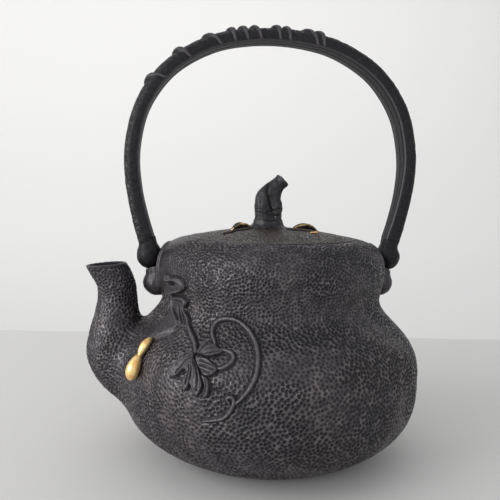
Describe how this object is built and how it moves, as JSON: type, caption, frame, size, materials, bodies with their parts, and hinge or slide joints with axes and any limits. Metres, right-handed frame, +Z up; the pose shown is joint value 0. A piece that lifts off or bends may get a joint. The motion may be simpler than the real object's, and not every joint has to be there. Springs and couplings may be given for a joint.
{
  "type": "cast iron kettle",
  "caption": "Cast iron water kettle with a double-bulged pot, upright spout, lift-off domed lid with a stem knob, and a hollow arched bail handle that swings on lugs.",
  "frame": {"origin": "centre of the flat base that the kettle rests on", "axes": "+Z up, -X towards the spout, -Y towards the side with the vine in relief; the handle stands in the XZ plane"},
  "size_m": [0.192, 0.1718, 0.2451],
  "materials": {
    "cast_iron": "blackened, satin, pitted like orange peel",
    "knob_iron": "blackened, smooth with worn streaks",
    "wrought_iron": "blackened forged iron, satin",
    "gilt": "bright gilding",
    "worn_gilt": "worn gilding over dark bronze"
  },
  "bodies": {
    "kettle": {"kettle_body": "cast_iron", "gilt_gourd": "gilt"},
    "lid": {"lid": "cast_iron", "lid_knob": "knob_iron", "knob_washer": "wrought_iron", "knob_rivet": "wrought_iron", "lid_leaf_left": "worn_gilt", "lid_leaf_right": "worn_gilt", "lid_tendril_left": "worn_gilt", "lid_tendril_right": "worn_gilt"},
    "handle": {"handle": "wrought_iron", "handle_end_spout_side": "wrought_iron", "handle_end_back_side": "wrought_iron", "pivot_pin_spout_side": "wrought_iron", "pivot_pin_back_side": "wrought_iron"}
  },
  "joints": [
    {"name": "handle_swing", "type": "hinge", "parent": "kettle", "child": "handle", "pos_m": [0, 0, 0.1145], "axis": [1, 0, 0], "range_deg": [-90, 90]},
    {"name": "lid_lift", "type": "slide", "parent": "kettle", "child": "lid", "axis": [0, 0, 1], "range_m": [0, 0.06]}
  ]
}
